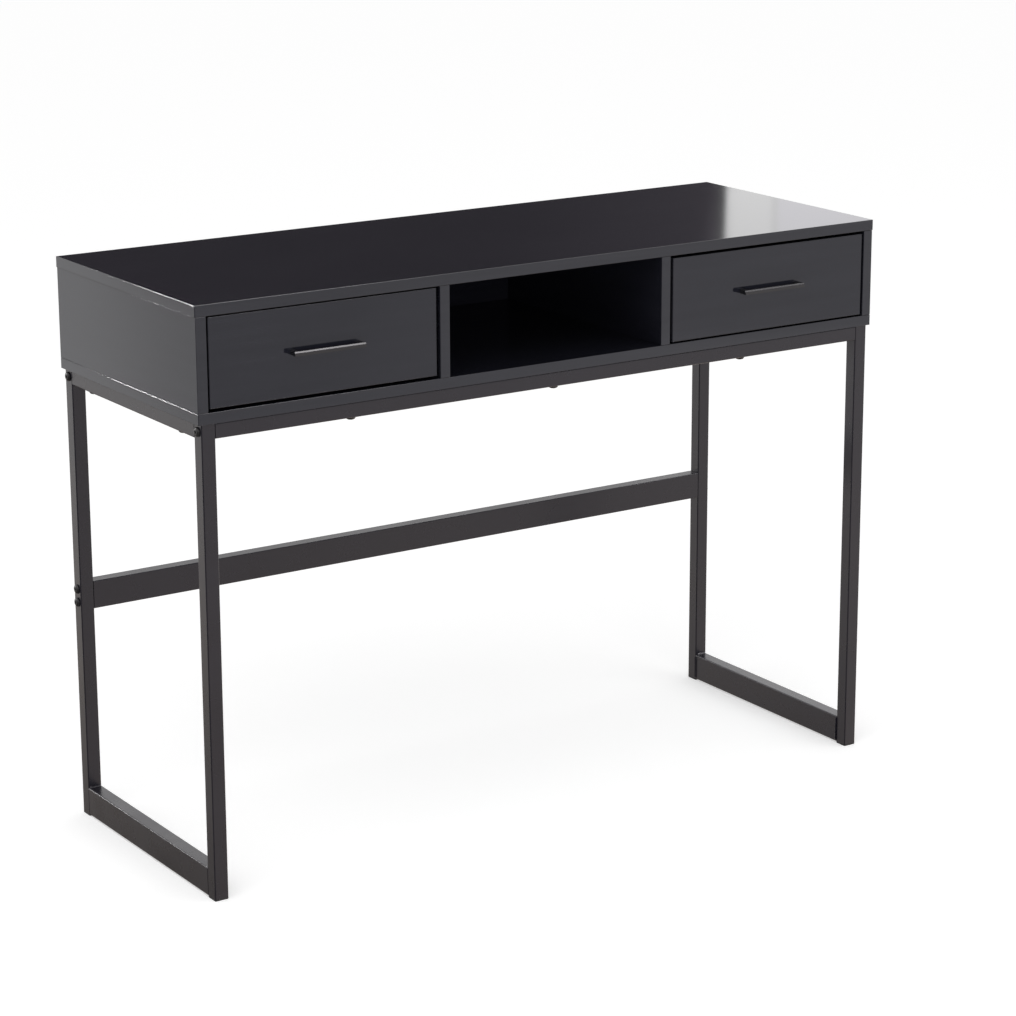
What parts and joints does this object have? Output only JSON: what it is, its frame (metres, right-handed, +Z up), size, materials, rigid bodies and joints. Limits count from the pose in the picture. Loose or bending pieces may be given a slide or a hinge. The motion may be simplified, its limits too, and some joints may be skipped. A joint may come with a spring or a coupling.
{
  "type": "writing desk with drawers",
  "caption": "Narrow black writing desk: a flat board case with drawers and an open shelf on a square-tube steel frame with floor rails and a back stretcher.",
  "frame": {"origin": "on the floor, under the middle of the bounding box with the drawers closed; the board case's own middle is 7 mm behind it, because the pulls stand out at the front", "axes": "+Z up, +X along the desk to the right as seen from the drawers' side, +Y towards the back"},
  "size_m": [1.1, 0.414, 0.802],
  "materials": {
    "black_board": "satin black laminate on particle board, faint grain",
    "black_steel": "satin black powder coat",
    "black_plastic": "matt black moulded plastic",
    "black_bolt": "black-coated steel",
    "zinc_plate": "zinc-plated sheet steel"
  },
  "bodies": {
    "desk": {"top_panel": "black_board", "bottom_panel": "black_board", "left_side_panel": "black_board", "right_side_panel": "black_board", "left_divider": "black_board", "right_divider": "black_board", "back_panel": "black_board", "left_front_leg": "black_steel", "left_back_leg": "black_steel", "right_front_leg": "black_steel", "right_back_leg": "black_steel", "left_floor_rail": "black_steel", "right_floor_rail": "black_steel", "left_top_rail": "black_steel", "right_top_rail": "black_steel", "front_top_rail": "black_steel", "back_top_rail": "black_steel", "back_stretcher": "black_steel", "left_front_foot_cap": "black_plastic", "left_back_foot_cap": "black_plastic", "right_front_foot_cap": "black_plastic", "right_back_foot_cap": "black_plastic", "left_front_leg_bolt": "black_bolt", "left_back_leg_bolt": "black_bolt", "right_front_leg_bolt": "black_bolt", "right_back_leg_bolt": "black_bolt", "left_stretcher_bolt_lower": "black_bolt", "left_stretcher_bolt_upper": "black_bolt", "right_stretcher_bolt_lower": "black_bolt", "right_stretcher_bolt_upper": "black_bolt", "front_rail_screw_1": "black_bolt", "front_rail_screw_2": "black_bolt", "front_rail_screw_3": "black_bolt", "back_rail_screw_1": "black_bolt", "back_rail_screw_2": "black_bolt", "back_rail_screw_3": "black_bolt", "left_rail_screw_front": "black_bolt", "left_rail_screw_back": "black_bolt", "right_rail_screw_front": "black_bolt", "right_rail_screw_back": "black_bolt", "left_bay_left_slide_rail": "zinc_plate", "left_bay_right_slide_rail": "zinc_plate", "right_bay_left_slide_rail": "zinc_plate", "right_bay_right_slide_rail": "zinc_plate"},
    "left_drawer": {"left_drawer_front": "black_board", "left_drawer_left_side": "black_board", "left_drawer_right_side": "black_board", "left_drawer_back": "black_board", "left_drawer_bottom": "black_board", "left_drawer_pull": "black_steel", "left_drawer_left_slide": "zinc_plate", "left_drawer_right_slide": "zinc_plate"},
    "right_drawer": {"right_drawer_front": "black_board", "right_drawer_left_side": "black_board", "right_drawer_right_side": "black_board", "right_drawer_back": "black_board", "right_drawer_bottom": "black_board", "right_drawer_pull": "black_steel", "right_drawer_left_slide": "zinc_plate", "right_drawer_right_slide": "zinc_plate"}
  },
  "joints": [
    {"name": "left_drawer_slide", "type": "slide", "parent": "desk", "child": "left_drawer", "axis": [0, -1, 0], "range_m": [0, 0.225]},
    {"name": "right_drawer_slide", "type": "slide", "parent": "desk", "child": "right_drawer", "axis": [0, -1, 0], "range_m": [0, 0.225]}
  ]
}
